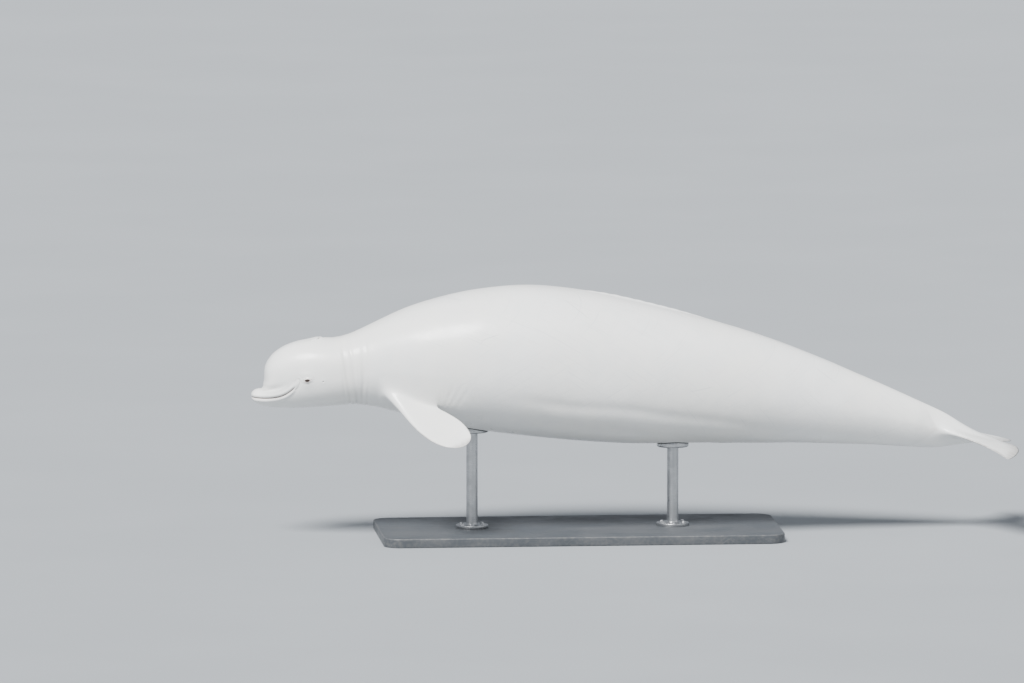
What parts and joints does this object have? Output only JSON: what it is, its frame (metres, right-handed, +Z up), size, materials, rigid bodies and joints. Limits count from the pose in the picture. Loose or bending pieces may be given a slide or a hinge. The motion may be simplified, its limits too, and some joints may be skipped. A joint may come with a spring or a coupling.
{
  "type": "beluga whale model",
  "caption": "Life-size still model of a white adult beluga whale, its back arched as it rolls at the surface, held over a flat base by short rods.",
  "frame": {"origin": "on the floor, at the middle of the underside of the stand's base", "axes": "+X from the beak towards the flukes, +Y to the whale's right, +Z up"},
  "size_m": [4.01, 1.058, 1.3195],
  "materials": {
    "skin": "smooth wet white skin, slightly warm, with faint grey marks",
    "eye": "dark brown, wet gloss",
    "base": "board painted plain dark grey, satin",
    "steel": "brushed steel"
  },
  "bodies": {
    "root": {"head": "skin", "melon": "skin", "lower_jaw": "skin", "neck": "skin", "chest": "skin", "midbody": "skin", "loin": "skin", "tail_stock": "skin", "fluke_left": "skin", "fluke_right": "skin", "flipper_left": "skin", "flipper_right": "skin", "dorsal_ridge": "skin", "eye_left": "eye", "eye_right": "eye", "stand_base": "base", "stand_flange_front": "steel", "stand_flange_rear": "steel", "stand_rod_front": "steel", "stand_rod_rear": "steel", "stand_pad_front": "steel", "stand_pad_rear": "steel"}
  },
  "joints": []
}
